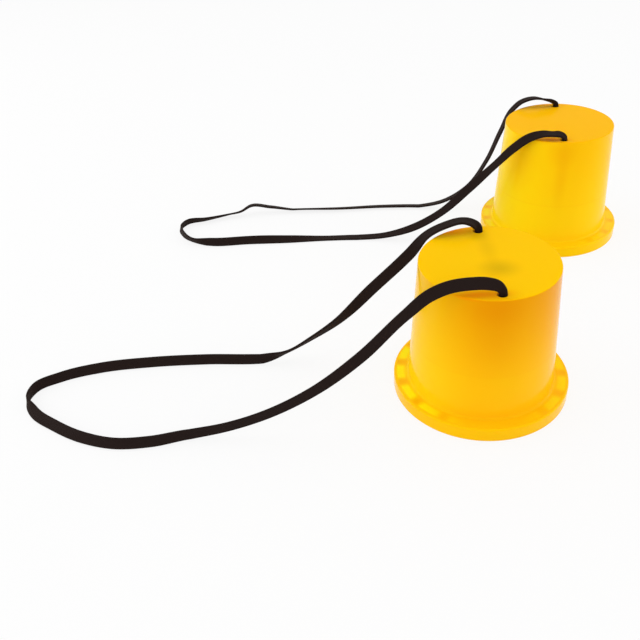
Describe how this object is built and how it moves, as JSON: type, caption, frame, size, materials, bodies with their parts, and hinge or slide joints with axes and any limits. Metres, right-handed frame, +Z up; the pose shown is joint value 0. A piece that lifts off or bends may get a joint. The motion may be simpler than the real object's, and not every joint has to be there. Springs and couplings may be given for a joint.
{
  "type": "cup stilts",
  "caption": "Upturned tapered plastic cups with a flat foot plate and a ribbed brim, each with a loop of black woven tape, knotted under the plate, that a child holds while walking on the pair.",
  "frame": {"origin": "on the floor, midway between the two cups", "axes": "+Z up, +Y from the near cup to the far cup's side, +X away from the cord loops, which lie towards -X"},
  "size_m": [0.6097, 0.423, 0.1397],
  "materials": {
    "yellow_plastic": "glossy moulded plastic, slightly translucent",
    "black_tape": "flat woven tape"
  },
  "bodies": {
    "cups": {"near_cup": "yellow_plastic", "far_cup": "yellow_plastic"},
    "near_loop": {"near_cord": "black_tape", "near_front_knot": "black_tape", "near_back_knot": "black_tape"},
    "far_loop": {"far_cord": "black_tape", "far_front_knot": "black_tape", "far_back_knot": "black_tape"}
  },
  "joints": [
    {"name": "near_cord_draw", "type": "slide", "parent": "cups", "child": "near_loop", "axis": [0, 0, 1], "range_m": [0, 0.005]},
    {"name": "far_cord_draw", "type": "slide", "parent": "cups", "child": "far_loop", "axis": [0, 0, 1], "range_m": [0, 0.005]}
  ]
}
